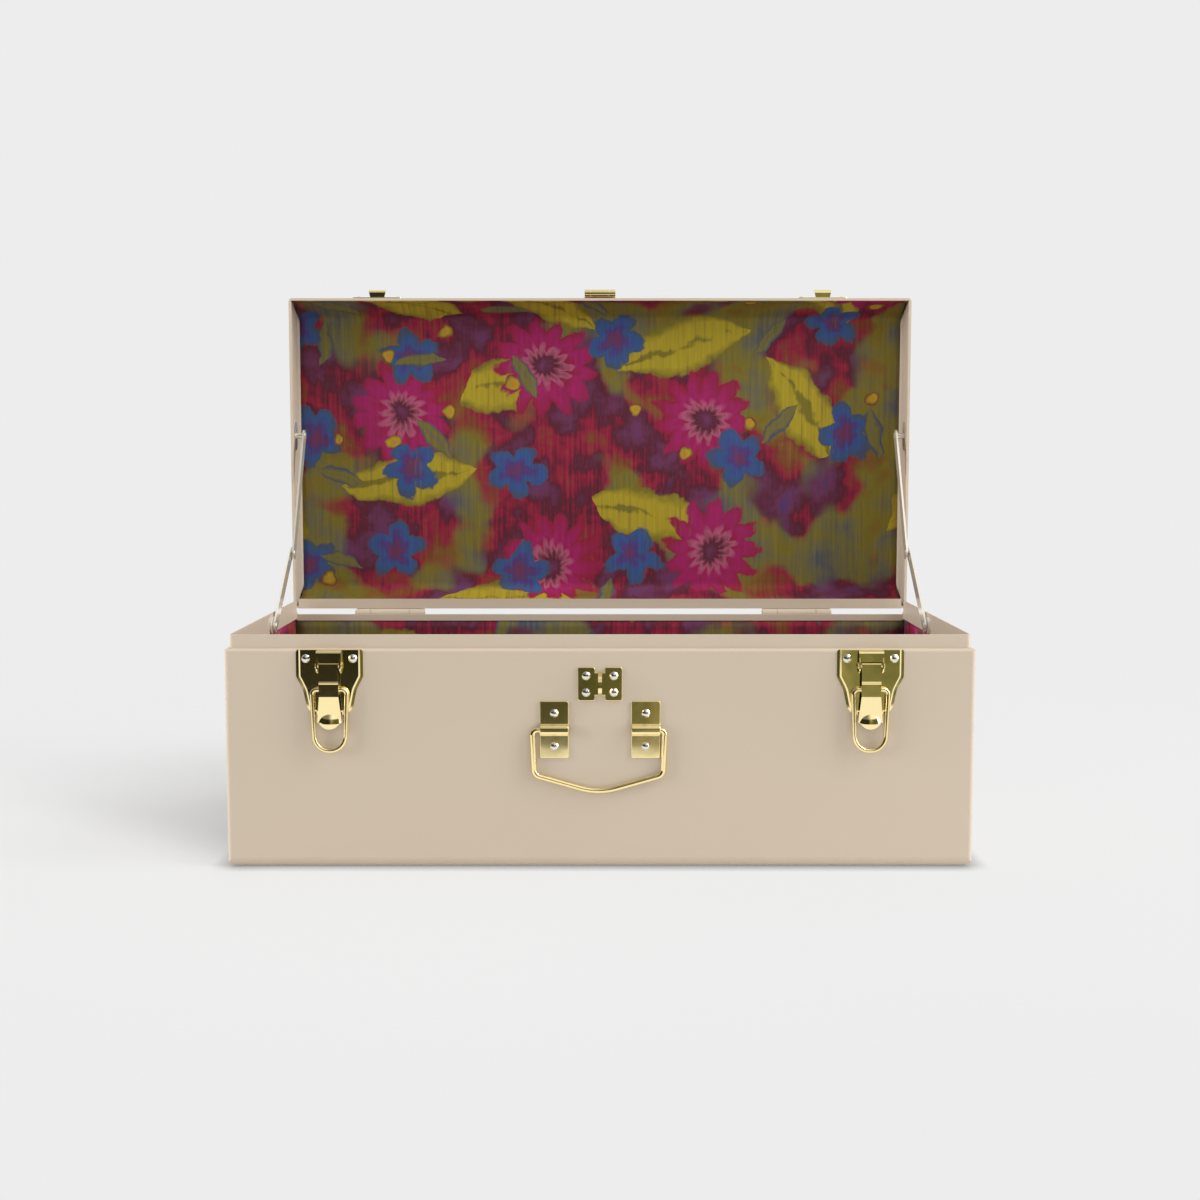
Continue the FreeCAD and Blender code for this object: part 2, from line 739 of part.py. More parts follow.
def latch_lever():
    """Lever rolled round its pin, with a rib, cheeks for the loop and a face domed out to a thumb lip."""
    bore = latch_pin_radius + latch_pin_fit
    out = latch_pin_out + bore + lever_sheet / 2
    half_sheet = lever_sheet / 2
    y = front_y - latch_pin_out
    wide = lever_width / 2
    foot_wide = lever_foot_width / 2
    left = -foot_wide
    width = FreeCAD.Vector(lever_foot_width, 0, 0)
    knee_z = latch_pin_z - lever_straight
    foot_z = latch_pin_z - lever_length
    lip_z = foot_z + lever_lip_height
    lean_out = out - lever_lean
    shank_path = [(out, latch_pin_z), (out, knee_z), (lean_out, lip_z)]
    shank = bent_sheet(shank_path, lever_bend, lever_sheet, front(left), width)
    face_out = lean_out + half_sheet
    lip_out = face_out + lever_lip_out
    ball = (lever_thumb_radius**2 + lever_lip_out**2) / (2 * lever_lip_out)
    centre_y = front_y - lip_out + ball
    near = front_y - lean_out + half_sheet
    dome_room = box(left, foot_wide, front_y - lip_out, near, lip_z, lip_z + lever_thumb_radius)
    dome = Part.makeSphere(ball, FreeCAD.Vector(0, centre_y, lip_z)).common(dome_room)
    lip_foot = FreeCAD.Vector(0, centre_y, foot_z)
    cone = Part.makeCone(ball - lever_lip_slope, ball, lever_lip_height, lip_foot, Z_AXIS)
    lip = cone.common(box(left, foot_wide, front_y - lip_out, near, foot_z, lip_z))
    roll = bar_x(bore + lever_sheet, left, -left, y, latch_pin_z)
    rib_y = front_y - out - half_sheet + lever_rib_sunk
    rib = bar_x(lever_rib_radius, left, -left, rib_y, latch_pin_z - lever_rib_drop)
    head_z = latch_pin_z + bore + lever_sheet
    ledge_y = front_y - out - half_sheet + lever_ledge
    ledge = box(left, foot_wide, ledge_y - spare, ledge_y, latch_pin_z - lever_ledge_drop, head_z)
    body = roll.fuse([shank, lip, rib, dome]).cut(ledge)
    tip_z = lip_z + lever_tip_rise
    lip_wide = lever_lip_width / 2
    right = flat([(lip_wide, lip_z), (foot_wide, tip_z), (wide, knee_z), (wide, head_z)])
    nose = flat([(-lip_wide, lip_z), (0, foot_z), (lip_wide, lip_z)])
    stops = [tuple(nose)] + [(p,) for p in right[1:]]
    stops += [(FreeCAD.Vector(-p.x, p.y, 0),) for p in right[:0:-1]] + [(nose[0],)]
    front_view = Part.Face(Part.Wire(join(facing(front_y), stops)))
    body = body.common(front_view.extrude(FreeCAD.Vector(0, -lip_out - spare, 0)))
    half_cheek = lever_cheek_height / 2
    cheek_points = [
        (out, loop_pivot_z - half_cheek - half_sheet),
        (out, loop_pivot_z + half_cheek + half_sheet),
        (out - lever_cheek_reach, loop_pivot_z + half_cheek),
        (out - lever_cheek_reach, loop_pivot_z - half_cheek),
    ]
    cheek_face = outline(cheek_points, [0, 0, loop_radius, loop_radius], front(wide - lever_cheek))
    cheek = cheek_face.extrude(FreeCAD.Vector(lever_cheek, 0, 0))
    eye = bar_x(loop_radius + loop_fit, -latch_x, latch_x, front_y - loop_out, loop_pivot_z)
    body = body.fuse([cheek, mirrored(cheek)]).cut(eye)
    return body.cut(bar_x(bore, -latch_x, latch_x, y, latch_pin_z)).removeSplitter()


def latch_loop():
    """Closed wire loop whose top bar turns in the lever's cheeks."""
    top = loop_width / 2 - loop_radius
    foot = loop_foot_width / 2 - loop_radius
    low = loop_pivot_z - loop_reach
    points = [(-top, loop_pivot_z), (-foot, low), (foot, low), (top, loop_pivot_z)]
    bends = [loop_corner, foot, foot, loop_corner]
    y = front_y - loop_out
    path = join(facing(y), closed_stops(flat(points), bends))
    start = path[0].Vertexes[0].Point
    direction = path[0].tangentAt(path[0].FirstParameter)
    return rod(path, start, direction, loop_radius)


def keeper():
    """Plate on the lid's front wall with a flared hook that the loop draws down on, lid shut."""
    low = rim_z + keeper_rim_gap
    half = keeper_width / 2
    corners = [keeper_corner] * 4
    plate = outline(rectangle(-half, half, low, low + keeper_height), corners, facing(front_y))
    body = plate.extrude(FreeCAD.Vector(0, -keeper_sheet, 0))
    body = eased(body, keeper_ease, Y_AXIS, front_y - keeper_sheet)
    seat_z = loop_pivot_z + loop_reach - loop_radius - keeper_hook_seat
    mid_z = seat_z - keeper_sheet / 2
    path = [
        (keeper_sheet / 2, mid_z),
        (keeper_hook_out, mid_z),
        (keeper_hook_out + keeper_hook_curl / 2, mid_z + keeper_hook_curl),
    ]
    widest = keeper_hook_width / 2
    width = FreeCAD.Vector(keeper_hook_width, 0, 0)
    hook = bent_sheet(path, keeper_hook_bend, keeper_sheet, front(-widest), width)
    root = keeper_hook_root / 2
    tip_y = front_y - keeper_hook_out - keeper_hook_curl
    wedge_points = [(-root, front_y), (root, front_y), (widest, tip_y), (-widest, tip_y)]
    wedge = outline(wedge_points, 0, plan(seat_z - spare)).extrude(FreeCAD.Vector(0, 0, 2 * spare))
    places = [(x - latch_x, z) for x, z in keeper_rivets]
    return body.fuse(hook.common(wedge)).cut(rivet_holes(places, -1)).removeSplitter()


def handle_bracket():
    """Strap with a round hump over the handle's wire and rounded edges."""
    half_sheet = bracket_sheet / 2
    crown = handle_wire / 2 + handle_fit + half_sheet
    hump = handle_out + crown
    foot = crown + bracket_foot_spread
    path = [
        (half_sheet, handle_z + bracket_height / 2),
        (half_sheet, handle_z + foot),
        (hump, handle_z + crown),
        (hump, handle_z - crown),
        (half_sheet, handle_z - foot),
        (half_sheet, handle_z - bracket_height / 2),
    ]
    bends = [bracket_foot_bend, bracket_crown_bend, bracket_crown_bend, bracket_foot_bend]
    half = bracket_width / 2
    width = FreeCAD.Vector(bracket_width, 0, 0)
    strap = bent_sheet(path, bends, bracket_sheet, front(-half), width)
    sides = rectangle(-half, half, handle_z - bracket_height / 2, handle_z + bracket_height / 2)
    trim = outline(sides, bracket_corner, facing(front_y))
    body = strap.common(trim.extrude(FreeCAD.Vector(0, -hump - bracket_sheet, 0)))
    body = eased(body, bracket_ease, Y_AXIS, front_y - bracket_sheet)
    places = [(x - bracket_x, z) for x, z in handle_rivets]
    return body.cut(rivet_holes(places, -1)).removeSplitter()


def handle_bail():
    """Bail of bent wire that turns in both brackets and hangs to a shallow point."""
    end = bracket_x - bracket_width / 2 + handle_end_inset
    leg = handle_width / 2 - handle_wire / 2
    foot = leg - handle_leg_lean
    right = [(foot, handle_z - handle_leg), (leg, handle_z), (end, handle_z)]
    left = [(-x, z) for x, z in right[::-1]]
    points = left + [(0, handle_z - handle_apex)] + right
    bends = [handle_shoulder_bend, handle_foot_bend, handle_apex_bend, handle_foot_bend, handle_shoulder_bend]
    y = front_y - handle_out
    path = join(facing(y), open_stops(flat(points), bends))
    bail = rod(path, FreeCAD.Vector(-end, y, handle_z), X_AXIS, handle_wire / 2)
    return moved(bail, handle_slide)


def staple():
    """Plate waisted to a bridge, folded out into a fin with the padlock's eye."""
    half = staple_width / 2
    bridge = staple_bridge_width / 2
    tall = staple_height / 2
    waist = staple_bridge_height / 2
    right = [(bridge, waist), (bridge, tall), (half, tall), (half, -tall), (bridge, -tall), (bridge, -waist)]
    points = right + [(-x, z) for x, z in right[::-1]]
    raised = [(x, staple_z + z) for x, z in points]
    bends = [0, staple_corner, staple_corner, staple_corner, staple_corner, 0] * 2
    plate = outline(raised, bends, facing(front_y)).extrude(FreeCAD.Vector(0, -staple_sheet, 0))
    plate = eased(plate, staple_ease, Y_AXIS, front_y - staple_sheet)
    nose = staple_eye_radius + staple_eye_wall
    tip = staple_eye_out + nose
    fin_points = [(staple_sheet / 2, staple_z - waist), (tip, staple_z - nose)]
    fin_points += [(tip, staple_z + nose), (staple_sheet / 2, staple_z + waist)]
    fin_face = outline(fin_points, [0, staple_fin_corner, staple_fin_corner, 0], front(-staple_fin / 2))
    fin = fin_face.extrude(FreeCAD.Vector(staple_fin, 0, 0))
    eye = bar_x(staple_eye_radius, -half, half, front_y - staple_eye_out, staple_z)
    return plate.fuse(fin).cut(eye).cut(rivet_holes(staple_rivets, -1)).removeSplitter()


def hasp():
    """Leaf, strap and pin of the hasp on the lid's front wall, lid shut and strap turned up."""
    half = hasp_width / 2
    inner = half - hasp_end_knuckle
    own = hasp_knuckle_gap / 2
    y = front_y - hasp_axis_out
    bore = bar_x(hasp_pin_radius + hasp_pin_fit, -half, half, y, hasp_axis_z)
    near = hasp_axis_z + hasp_barrel_radius + hasp_leaf_clearance
    far = hasp_axis_z + hasp_leaf_height
    sides = outline(rectangle(-half, half, near, far), [0, 0, hasp_corner, hasp_corner], facing(front_y))
    plate = eased(sides.extrude(FreeCAD.Vector(0, -hasp_sheet, 0)), hasp_ease, Y_AXIS, front_y - hasp_sheet)
    plate = plate.cut(rivet_holes(hasp_rivets, -1))

    def knuckle(x0, x1):
        """Rolled knuckle with the tab that curls up from the leaf."""
        roll = bar_x(hasp_barrel_radius, x0, x1, y, hasp_axis_z)
        tab = box(x0, x1, front_y - hasp_sheet, front_y, hasp_axis_z, near)
        return roll.fuse(tab)

    leaf = plate.fuse([knuckle(-half, -inner - own), knuckle(inner + own, half)]).cut(bore)
    wide = hasp_strap_width / 2
    neck = inner - own
    tip = hasp_axis_z + hasp_strap_length
    strap_points = [
        (-neck, hasp_axis_z),
        (neck, hasp_axis_z),
        (neck, near),
        (wide, near),
        (wide, tip),
        (-wide, tip),
        (-wide, near),
        (-neck, near),
    ]
    strap_bends = [0, 0, 0, hasp_sheet, hasp_strap_corner, hasp_strap_corner, hasp_sheet, 0]
    strap_face = outline(strap_points, strap_bends, facing(y - hasp_sheet / 2))
    strap = strap_face.extrude(FreeCAD.Vector(0, hasp_sheet, 0))
    strap = strap.fuse(bar_x(hasp_barrel_radius, -neck, neck, y, hasp_axis_z))
    slot_x = staple_fin / 2 + hasp_slot_side
    slot_high = tip - hasp_strap_end
    slot_low = slot_high - staple_bridge_height - 2 * hasp_slot_end
    slot = outline(rectangle(-slot_x, slot_x, slot_low, slot_high), hasp_slot_corner, facing(y - spare))
    strap = strap.cut(slot.extrude(FreeCAD.Vector(0, 2 * spare, 0))).cut(bore)
    pin = bar_x(hasp_pin_radius, -half, half, y, hasp_axis_z)
    return leaf.removeSplitter(), strap.removeSplitter(), pin


def capsule(start, end, width, x0, x1):
    """Flat bar with round ends, from one pivot to another on a plane across the trunk."""
    run = FreeCAD.Vector(0, end[0] - start[0], end[1] - start[1])
    side = X_AXIS.cross(run).normalize() * (width / 2)
    a, b = (FreeCAD.Vector(x0, *p) for p in (start, end))
    cap = FreeCAD.Vector(run).normalize() * (width / 2)
    edges = [
        Part.LineSegment(a + side, b + side).toShape(),
        Part.Arc(b + side, b + cap, b - side).toShape(),
        Part.LineSegment(b - side, a - side).toShape(),
        Part.Arc(a - side, a - cap, a + side).toShape(),
    ]
    return Part.Face(Part.Wire(edges)).extrude(FreeCAD.Vector(x1 - x0, 0, 0))


def stay():
    """Left folding stay with the lid open: plates, arms and pivots, from the lip inwards."""
    base_point = (stay_base_y, base_height + stay_base_rise)
    elbow = (stay_elbow_y, base_height + stay_elbow_rise)
    lid_point = (stay_lid_y, base_height + stay_lid_rise)
    plate_x = -lip_inner_x
    lower_x = plate_x + stay_plate + stay_gap
    head_x = lower_x + stay_arm
    upper_x = head_x + stay_head_height + stay_gap
    upper_end = upper_x + stay_arm
    wall_x = -half_width + sheet
    hole = stay_pivot_radius + stay_pivot_fit

    def pierced(shape, *points):
        """The shape with a pivot hole at each point."""
        for y, z in points:
            shape = shape.cut(bar_x(hole, -half_width, 0, y, z))
        return shape

    def pivot(x0, x1, point):
        """Rivet whose head is on the inner side."""
        shank = bar_x(stay_pivot_radius, x0, x1, *point)
        head = bar_x(stay_head_radius, x1, x1 + stay_head_height, *point)
        return shank.fuse(head.makeFillet(stay_head_height / 2, [head.Edges[0]])).removeSplitter()

    reach = (stay_plate_length - stay_plate_height) / 2
    plate_z = base_height + stay_plate_rise
    plate_ends = [(stay_base_y - reach, plate_z), (stay_base_y + reach, plate_z)]
    foot_reach = (stay_foot_length - stay_foot_height) / 2
    foot_ends = [(stay_lid_y, lid_point[1] - foot_reach), (stay_lid_y, lid_point[1] + foot_reach)]
    foot = capsule(*foot_ends, stay_foot_height, wall_x, wall_x + stay_plate)
    post = bar_x(stay_post_radius, wall_x + stay_plate, upper_x - stay_gap / 2, *lid_point)
    base_plate = capsule(*plate_ends, stay_plate_height, plate_x, plate_x + stay_plate)
    lower_arm = capsule(base_point, elbow, stay_arm_width, lower_x, head_x)
    upper_arm = capsule(elbow, lid_point, stay_arm_width, upper_x, upper_end)
    return {
        "stay_base_plate": pierced(base_plate, base_point),
        "stay_base_rivet": pivot(plate_x + stay_gap, head_x, base_point),
        "stay_lower_arm": pierced(lower_arm, base_point),
        "stay_upper_arm": pierced(upper_arm, elbow, lid_point),
        "stay_elbow_rivet": pivot(head_x + stay_gap, upper_end, elbow),
        "stay_lid_bracket": foot.fuse(post).removeSplitter(),
        "stay_lid_rivet": pivot(upper_x - stay_gap / 2, upper_end, lid_point),
    }


def all_nodes():
    """Every piece of the trunk by its node's name."""
    nodes = {"base_shell": base_shell(), "lip_band": lip_band()}
    nodes.update(base_liners())
    nodes["lid_shell"] = opened(lid_shell())
    nodes["lid_liner"] = opened(lid_liner())
    for side, x in hinge_places.items():
        base_leaf, lid_leaf, pin = hinge(x)
        nodes[side + "_hinge_base_leaf"] = base_leaf
        nodes[side + "_hinge_lid_leaf"] = opened(lid_leaf)
        nodes[side + "_hinge_pin"] = pin
    nodes["hinge_base_rivets"] = rivets(hinge_base_rivets, hinge_leaf, 1)
    nodes["hinge_lid_rivets"] = opened(rivets(hinge_lid_rivets, hinge_leaf, 1))
    for side, x in (("left", -latch_x), ("right", latch_x)):
        nodes[side + "_latch_plate"] = moved(latch_plate_piece(), x)
        nodes[side + "_latch_pin"] = moved(latch_pin(), x)
        nodes[side + "_latch_lever"] = moved(latch_lever(), x)
        nodes[side + "_latch_loop"] = moved(latch_loop(), x)
        nodes[side + "_keeper"] = opened(moved(keeper(), x))
    nodes["latch_rivets"] = rivets(latch_rivets, latch_plate, -1)
    nodes["keeper_rivets"] = opened(rivets(keeper_rivets, keeper_sheet, -1))
    for side, x in (("left", -bracket_x), ("right", bracket_x)):
        nodes[side + "_handle_bracket"] = moved(handle_bracket(), x)
    nodes["handle_rivets"] = rivets(handle_rivets, bracket_sheet, -1)
    nodes["handle_bail"] = handle_bail()
    nodes["staple"] = staple()
    nodes["staple_rivets"] = rivets(staple_rivets, staple_sheet, -1)
    leaf, strap, pin = hasp()
    nodes["hasp_leaf"] = opened(leaf)
    nodes["hasp_strap"] = opened(strap)
    nodes["hasp_pin"] = opened(pin)
    nodes["hasp_rivets"] = opened(rivets(hasp_rivets, hasp_sheet, -1))
    for name, shape in stay().items():
        nodes["left_" + name] = shape
        nodes["right_" + name] = mirrored(shape)
    return nodes


os.makedirs("parts", exist_ok=True)
for node, solid in all_nodes().items():
    solid.exportStep("parts/" + node + ".step")
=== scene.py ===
"""A storage trunk of painted sheet steel, shown with its lid open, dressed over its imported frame.

Metres throughout: +X is the trunk's right, -Y its front and +Z up, with the origin under the base.
The steel, brass and stays keep their solids and get their finishes here. The printed boards and the
lid's printed sheet are surfaces worked out on grids, with the print laid along them.
"""

import json
import math

import bpy
import numpy as np
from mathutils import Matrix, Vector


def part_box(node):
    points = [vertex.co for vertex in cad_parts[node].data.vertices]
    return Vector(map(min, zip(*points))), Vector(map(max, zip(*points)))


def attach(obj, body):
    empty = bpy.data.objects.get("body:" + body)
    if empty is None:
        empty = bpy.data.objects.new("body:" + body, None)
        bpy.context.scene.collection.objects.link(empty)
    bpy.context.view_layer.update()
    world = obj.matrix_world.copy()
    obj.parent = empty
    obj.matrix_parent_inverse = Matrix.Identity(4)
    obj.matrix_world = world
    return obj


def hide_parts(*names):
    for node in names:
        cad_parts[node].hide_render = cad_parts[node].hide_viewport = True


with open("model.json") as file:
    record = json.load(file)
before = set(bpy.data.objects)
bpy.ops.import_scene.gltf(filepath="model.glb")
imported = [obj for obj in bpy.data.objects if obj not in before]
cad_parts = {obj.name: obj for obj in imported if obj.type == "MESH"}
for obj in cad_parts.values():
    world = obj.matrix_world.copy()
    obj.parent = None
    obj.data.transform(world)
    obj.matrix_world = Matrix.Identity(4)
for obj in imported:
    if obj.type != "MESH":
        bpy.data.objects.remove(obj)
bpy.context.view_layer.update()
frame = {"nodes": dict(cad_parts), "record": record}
nodes = frame["nodes"]

MM = 0.001
TURN = 2 * math.pi

# Camera, at the photograph's place
CAMERA_AT = (0.0, -1.24306, 0.28705)
CAMERA_TILT = math.radians(84.687)
CAMERA_LENS = 50.0
CAMERA_SENSOR = 36.0

# Floor sheet: its edges, the front one with a notch before the handle
FLOOR_FRONT = -0.66
FLOOR_NOTCH = 0.13
FLOOR_STEP = 0.09
FLOOR_BACK = 3.0
FLOOR_HALF = 2.4

# Floor as it is seen: levels and the lamps' share at the trunk's left and right, and where it fades out
FLOOR_LIT = 0.95
FLOOR_ACROSS = (-0.27, 0.20)
FLOOR_LEVEL = (0.885, 0.855)
LAMP_SHARE = (0.25, 0.1)
FLOOR_FADE = (0.36, 0.56)

# Shade painted into the floor's glow: the broad one in the trunk's lee, on its left, and the thin one along
# its foot
LEE_REACH = 0.32
PAINTED_LEE_DEPTH = 0.95
LEE_EDGE = (-0.27, -0.22)
LEE_SLANT = (-0.40, -0.26)
FOOT_REACH = 0.014
PAINTED_FOOT_DEPTH = 0.9
SHADE_DARKEST = 0.3

# Light all round, the background, and the room that metal mirrors: its ceiling's glare and where it ends
AMBIENT = 0.595
BACKGROUND = 0.847
ROOM_GLOW = 4.6
ROOM_PATCH_SCALE = 32.0
CEILING = (0.34, 0.52)
GLARE_ACROSS = (-0.3, 0.3)
GLARE = (0.22, 1.1)
ROOM_END = (-0.12, 0.08)

# Lamps: the key, high on the right, and one low on either side
LAMP_AIM = (0, 0, 0.15)
KEY_AT = (2.0, -0.5, 2.1)
KEY_SIZE = 1.1
KEY_WATTS = 32
SIDE_REACH = 2.75
SIDE_FRONT = -0.65
SIDE_HEIGHT = 0.75
SIDE_SIZE = 1.6
RIGHT_WATTS = 35
LEFT_WATTS = 54

# Colours, as they are seen in plain light
PAINT = (213, 197, 176)
BRASS = (255, 234, 176)
NICKEL = (226, 224, 220)
STAY_STEEL = (244, 238, 224)
MAROON = (92, 36, 50)
CRIMSON = (150, 32, 62)
MAGENTA = (164, 34, 100)
ROSE = (176, 92, 116)
RUST = (128, 66, 42)
OCHRE = (134, 98, 46)
PLUM = (112, 56, 92)
VIOLET = (82, 62, 122)
BLUE = (54, 90, 146)
SLATE = (72, 82, 104)
OLIVE = (126, 114, 38)
MUSTARD = (174, 154, 40)
SAGE = (112, 106, 74)
AMBER = (196, 128, 44)

# Lid sheet, as it is bent: runs along both walls, slopes to the panel, and the softness of the bends
LID_SHEET = 0.6 * MM
LID_WALL_RUN = 10.1 * MM
LID_SLOPE = 11.2 * MM
LID_BEND = 9.0 * MM
LID_RIPPLE = 0.7 * MM
LID_ROWS = 320
LID_COLUMNS = 120

# Boards of the base
BOARD_BOW = 0.4 * MM
BOARD_ROWS = 24
BOARD_COLUMNS = 48


def linear(colour):
    """The linear value of a colour written as it is seen: c/12.92, or ((c + 0.055)/1.055)^2.4 above 0.04."""
    c = np.asarray(colour, float) / 255
    value = np.where(c <= 0.04045, c / 12.92, ((c + 0.055) / 1.055) ** 2.4)
    return (*value.tolist(), 1.0)


def seen(stops):
    """Stops of a ramp, with their colours written as they are seen."""
    return [(place, linear(colour)) for place, colour in stops]


def grey(level):
    """A grey, with its level in linear light."""
    return (level, level, level, 1.0)


class Tree:
    """Adds nodes to a node tree, each with its inputs linked or set."""

    def __init__(self, tree):
        self.tree = tree
        tree.nodes.clear()

    def add(self, kind, inputs=(), **settings):
        """A node of this kind, with its settings made and its inputs given as sockets or values."""
        node = self.tree.nodes.new(kind)
        for name, value in settings.items():
            setattr(node, name, value)
        for key, value in dict(inputs).items():
            if isinstance(value, bpy.types.NodeSocket):
                self.tree.links.new(value, node.inputs[key])
            else:
                node.inputs[key].default_value = value
        return node

    def sums(self, operation, *values):
        """Scalar arithmetic on sockets or numbers."""
        return self.add("ShaderNodeMath", enumerate(values), operation=operation).outputs[0]

    def vector(self, operation, *values):
        """Vector arithmetic, whose result is a vector."""
        return self.add("ShaderNodeVectorMath", enumerate(values), operation=operation).outputs[0]

    def length(self, value):
        """Length of a vector."""
        return self.add("ShaderNodeVectorMath", {0: value}, operation="LENGTH").outputs["Value"]

    def split(self, value):
        """The three parts of a vector."""
        return self.add("ShaderNodeSeparateXYZ", {0: value}).outputs

    def combine(self, x, y, z=0.0):
        """A vector from three parts."""
        return self.add("ShaderNodeCombineXYZ", {0: x, 1: y, 2: z}).outputs[0]

    def noise(self, vector, scale, detail=2.0, roughness=0.5):
        """Smooth noise, with its value first and its colour second."""
        inputs = {"Vector": vector, "Scale": scale, "Detail": detail, "Roughness": roughness}
        return self.add("ShaderNodeTexNoise", inputs).outputs

    def span(self, value, low, high, to_low=0.0, to_high=1.0, kind="SMOOTHSTEP"):
        """The value carried from one span to another."""
        inputs = {0: value, 1: low, 2: high, 3: to_low, 4: to_high}
        return self.add("ShaderNodeMapRange", inputs, interpolation_type=kind).outputs[0]

    def mix(self, factor, a, b, blend="MIX"):
        """Colours mixed by a factor."""
        inputs = {0: factor, 6: a, 7: b}
        return self.add("ShaderNodeMix", inputs, data_type="RGBA", blend_type=blend).outputs[2]

    def ramp(self, value, stops):
        """Colours along a value, as (place, colour) stops."""
        node = self.add("ShaderNodeValToRGB", {0: value})
        band = node.color_ramp.elements
        while len(band) < len(stops):
            band.new(1.0)
        for element, (place, colour) in zip(band, stops):
            element.position = place
            element.color = colour
        return node.outputs[0]


def new_group(name, inputs, outputs):
    """An empty shader node group, its tree helper, and its input sockets by name."""
    group = bpy.data.node_groups.new(name, "ShaderNodeTree")
    tree = Tree(group)
    for label, kind, value in inputs:
        socket = group.interface.new_socket(label, in_out="INPUT", socket_type="NodeSocket" + kind)
        if value is not None:
            socket.default_value = value
    for label, kind in outputs:
        group.interface.new_socket(label, in_out="OUTPUT", socket_type="NodeSocket" + kind)
    return group, tree, tree.add("NodeGroupInput").outputs


def surface_group():
    """Gentle unevenness of a finished surface: broad dents and fine grain as a normal, and uneven gloss."""
    inputs = [
        ("Gloss", "Float", 0.3),
        ("Gloss Spread", "Float", 0.05),
        ("Broad Scale", "Float", 60.0),
        ("Broad Depth", "Float", 0.0001),
        ("Grain Scale", "Float", 900.0),
        ("Grain Depth", "Float", 0.00001),
    ]
    outputs = [("Roughness", "Float"), ("Normal", "Vector")]
    group, tree, given = new_group("surface_unevenness", inputs, outputs)
    place = tree.add("ShaderNodeTexCoord").outputs["Object"]
    broad = tree.noise(place, given["Broad Scale"], 1.0)[0]
    grain = tree.noise(place, given["Grain Scale"], 2.0)[0]
    cloud = tree.noise(place, 34.0, 3.0)[0]
    height = tree.sums(
        "ADD",
        tree.sums("MULTIPLY", broad, given["Broad Depth"]),
        tree.sums("MULTIPLY", grain, given["Grain Depth"]),
    )
    normal = tree.add("ShaderNodeBump", {"Strength": 1.0, "Distance": 1.0, "Height": height}).outputs[0]
    swing = tree.sums("MULTIPLY", tree.sums("SUBTRACT", cloud, 0.5), given["Gloss Spread"])
    rough = tree.sums("ADD", given["Gloss"], swing)
    tree.add("NodeGroupOutput", {"Roughness": rough, "Normal": normal})
    return group


def new_material(name):
    """An empty material, its tree helper and its Principled shader."""
    material = bpy.data.materials.new(name)
    material.use_nodes = True
    tree = Tree(material.node_tree)
    shader = tree.add("ShaderNodeBsdfPrincipled")
    tree.add("ShaderNodeOutputMaterial", {"Surface": shader.outputs[0]})
    return material, tree, shader


def uneven(tree, shader, group, **values):
    """Places the unevenness group in a material with its own values and links it to the shader."""
    inputs = {key.replace("_", " ").title(): value for key, value in values.items()}
    node = tree.add("ShaderNodeGroup", node_tree=group)
    for label, value in inputs.items():
        node.inputs[label].default_value = value
    tree.tree.links.new(node.outputs["Roughness"], shader.inputs["Roughness"])
    tree.tree.links.new(node.outputs["Normal"], shader.inputs["Normal"])


def clouded(tree, colour, amount, scale):
    """A colour that drifts lighter and darker by a small amount over the surface."""
    place = tree.add("ShaderNodeTexCoord").outputs["Object"]
    drift = tree.noise(place, scale, 3.0)[0]
    dark = tuple(c * (1 - amount) for c in colour[:3]) + (1.0,)
    pale = tuple(min(c * (1 + amount), 1.0) for c in colour[:3]) + (1.0,)
    return tree.mix(drift, dark, pale)


def paint_material(group):
    """Satin powder coat with a faint orange peel."""
    material, tree, shader = new_material("satin_paint")
    colour = clouded(tree, linear(PAINT), 0.02, 9.0)
    tree.tree.links.new(colour, shader.inputs["Base Color"])
    shader.inputs["Specular IOR Level"].default_value = 0.35
    uneven(tree, shader, group, gloss=0.46, gloss_spread=0.06, broad_scale=14.0, broad_depth=0.00025,
           grain_scale=1100.0, grain_depth=0.000012)
    return material


def metal_material(name, colour, group, bare=1.0, **values):
    """Plated metal with gentle dents and an uneven gloss; a dull plating is less bare."""
    material, tree, shader = new_material(name)
    tree.tree.links.new(clouded(tree, linear(colour), 0.03, 45.0), shader.inputs["Base Color"])
    shader.inputs["Metallic"].default_value = bare
    uneven(tree, shader, group, **values)
    return material


def scattered(tree, place, cell, jitter, shift, filled):
    """Middles on a jittered grid: the way from the nearest one, its turn, and 1 where its cell is filled."""
    there = tree.vector("ADD", place, shift)
    inputs = {"Vector": there, "Scale": 1 / cell, "Randomness": jitter}
    found = tree.add("ShaderNodeTexVoronoi", inputs, voronoi_dimensions="2D").outputs
    way = tree.vector("SUBTRACT", there, found["Position"])
    chance, turn, _ = tree.split(found["Color"])
    return way, turn, tree.sums("LESS_THAN", chance, filled)


def bloom(tree, way, turn, radius, count, notch):
    """Distance out of a flower: r over radius(1 - notch + notch |cos(count angle / 2)|), 1 on its rim."""
    x, y, _ = tree.split(way)
    angle = tree.sums("MULTIPLY_ADD", turn, TURN, tree.sums("ARCTAN2", y, x))
    wave = tree.sums("ABSOLUTE", tree.sums("COSINE", tree.sums("MULTIPLY", angle, count / 2)))
    rim = tree.sums("MULTIPLY_ADD", wave, radius * notch, radius * (1 - notch))
    return tree.sums("DIVIDE", tree.length(way), rim)


